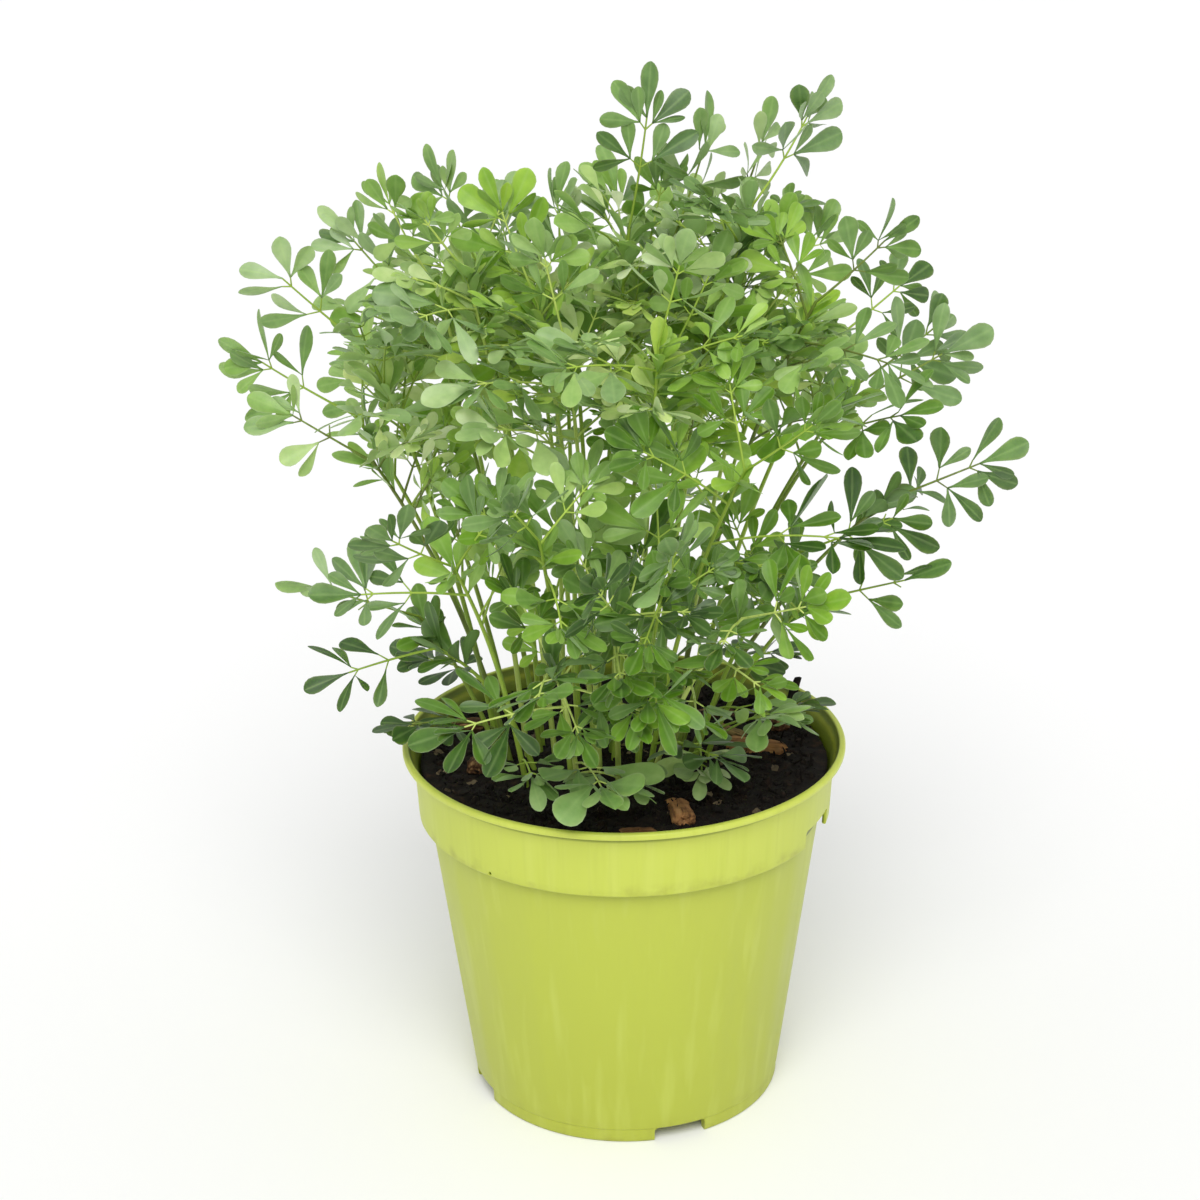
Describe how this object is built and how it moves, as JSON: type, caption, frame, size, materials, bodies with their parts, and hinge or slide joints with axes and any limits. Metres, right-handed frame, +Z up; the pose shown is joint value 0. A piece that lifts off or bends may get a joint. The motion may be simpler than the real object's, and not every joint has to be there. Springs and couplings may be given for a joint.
{
  "type": "potted rue",
  "caption": "Bush of common rue with thin upright stems and divided blue-green leaves, in a round lime green nursery pot of dark compost.",
  "frame": {"origin": "on the ground under the middle of the pot and its bush", "axes": "+Z up, -Y towards the front of the picture, +X to its right"},
  "size_m": [0.24, 0.2153, 0.3289],
  "materials": {
    "pot_plastic": "smooth moulded polypropylene, lime green, satin",
    "peat_compost": "moist dark peat compost, coarse and matt",
    "bark": "broken bark chips, matt, orange brown to dark brown",
    "rue_leaf": "living leaf with a thin waxy bloom, blue-green, on yellow-green stems"
  },
  "bodies": {
    "root": {"pot": "pot_plastic", "soil": "peat_compost", "bark_chip_01": "bark", "bark_chip_02": "bark", "bark_chip_03": "bark", "bark_chip_04": "bark", "bark_chip_05": "bark", "bark_chip_06": "bark", "bark_chip_07": "bark", "bark_chip_08": "bark", "leafy_stem_01": "rue_leaf", "leafy_stem_02": "rue_leaf", "leafy_stem_03": "rue_leaf", "leafy_stem_04": "rue_leaf", "leafy_stem_05": "rue_leaf", "leafy_stem_06": "rue_leaf", "leafy_stem_07": "rue_leaf", "leafy_stem_08": "rue_leaf", "leafy_stem_09": "rue_leaf", "leafy_stem_10": "rue_leaf", "leafy_stem_11": "rue_leaf", "leafy_stem_12": "rue_leaf", "leafy_stem_13": "rue_leaf", "leafy_stem_14": "rue_leaf", "leafy_stem_15": "rue_leaf", "leafy_stem_16": "rue_leaf", "leafy_stem_17": "rue_leaf", "leafy_stem_18": "rue_leaf", "leafy_stem_19": "rue_leaf", "leafy_stem_20": "rue_leaf", "leafy_stem_21": "rue_leaf", "leafy_stem_22": "rue_leaf", "leafy_stem_23": "rue_leaf", "leafy_stem_24": "rue_leaf", "leafy_stem_25": "rue_leaf", "leafy_stem_26": "rue_leaf", "leafy_stem_27": "rue_leaf", "leafy_stem_28": "rue_leaf", "leafy_stem_29": "rue_leaf", "leafy_stem_30": "rue_leaf", "leafy_stem_31": "rue_leaf", "leafy_stem_32": "rue_leaf", "leafy_stem_33": "rue_leaf", "leafy_stem_34": "rue_leaf", "leafy_stem_35": "rue_leaf", "leafy_stem_36": "rue_leaf", "leafy_stem_37": "rue_leaf", "leafy_stem_38": "rue_leaf", "leafy_stem_39": "rue_leaf", "leafy_stem_40": "rue_leaf", "leafy_stem_41": "rue_leaf", "leafy_stem_42": "rue_leaf"}
  },
  "joints": []
}
